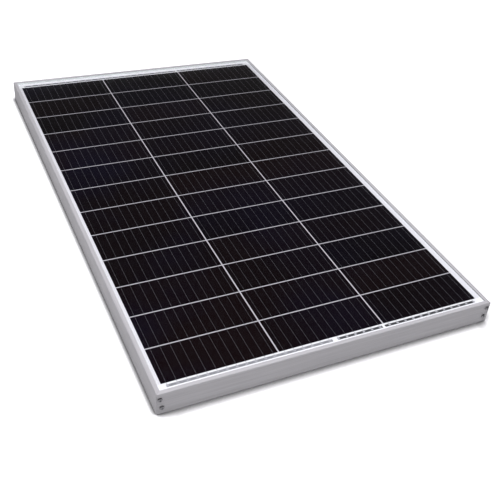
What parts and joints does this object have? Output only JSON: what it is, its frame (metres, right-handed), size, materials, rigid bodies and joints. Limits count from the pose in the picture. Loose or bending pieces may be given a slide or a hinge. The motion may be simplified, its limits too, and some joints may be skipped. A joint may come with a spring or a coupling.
{
  "type": "solar panel",
  "caption": "Flat framed solar panel: glass-covered dark cells in a silver aluminium frame, with a lidded junction box and two cable glands behind.",
  "frame": {"origin": "centre of the rectangle that the frame's bottom flanges rest on", "axes": "+X across the panel, +Y along its length away from the end with three bus ribbons and the junction box, +Z out of the glass"},
  "size_m": [0.505, 0.8742, 0.035],
  "materials": {
    "anodised_aluminium": "satin silver anodised extrusion",
    "stainless_steel": "bright stainless screws",
    "solar_glass": "clear low-iron glass with a fine texture",
    "encapsulant": "clear laminated polymer",
    "backsheet": "matt white film",
    "silicon_cell": "dark anti-reflection coated silicon with fine silver fingers and busbars",
    "tinned_ribbon": "tinned copper strip with solder joints",
    "tinned_brass": "tinned brass",
    "black_plastic": "moulded matt black plastic",
    "sealant": "cured silicone and rubber",
    "diode_body": "moulded epoxy",
    "blank_label": "blank silver-white sticker"
  },
  "bodies": {
    "panel": {"backsheet": "backsheet", "box_adhesive_pad": "sealant", "box_base": "black_plastic", "bypass_diode_left": "diode_body", "bypass_diode_right": "diode_body", "cell_string_centre": "silicon_cell", "cell_string_left": "silicon_cell", "cell_string_right": "silicon_cell", "cover_glass": "solar_glass", "far_ribbon_left": "tinned_ribbon", "far_ribbon_right": "tinned_ribbon", "frame_far": "anodised_aluminium", "frame_left": "anodised_aluminium", "frame_near": "anodised_aluminium", "frame_right": "anodised_aluminium", "front_encapsulant": "encapsulant", "gland_body_left": "black_plastic", "gland_body_right": "black_plastic", "gland_lock_nut_left": "black_plastic", "gland_lock_nut_right": "black_plastic", "gland_nut_left": "black_plastic", "gland_nut_right": "black_plastic", "gland_seal_left": "sealant", "gland_seal_right": "sealant", "lead_ribbon_left": "tinned_ribbon", "lead_ribbon_middle": "tinned_ribbon", "near_ribbon_left": "tinned_ribbon", "near_ribbon_middle": "tinned_ribbon", "near_ribbon_right": "tinned_ribbon", "rear_encapsulant": "encapsulant", "rear_label": "blank_label", "return_ribbon": "tinned_ribbon", "screw_far_left_lower": "stainless_steel", "screw_far_left_upper": "stainless_steel", "screw_far_right_lower": "stainless_steel", "screw_far_right_upper": "stainless_steel", "screw_near_left_lower": "stainless_steel", "screw_near_left_upper": "stainless_steel", "screw_near_right_lower": "stainless_steel", "screw_near_right_upper": "stainless_steel", "seal_far": "sealant", "seal_left": "sealant", "seal_near": "sealant", "seal_right": "sealant", "terminal_left": "tinned_brass", "terminal_middle": "tinned_brass", "terminal_right": "tinned_brass", "terminal_screw_left": "stainless_steel", "terminal_screw_middle": "stainless_steel", "terminal_screw_right": "stainless_steel"},
    "lid": {"box_lid": "black_plastic", "lid_gasket": "sealant"}
  },
  "joints": [
    {"name": "box_lid_hinge", "type": "hinge", "parent": "panel", "child": "lid", "pos_m": [0, -0.3936, 0.011], "axis": [-1, 0, 0], "range_deg": [0, 100]}
  ]
}
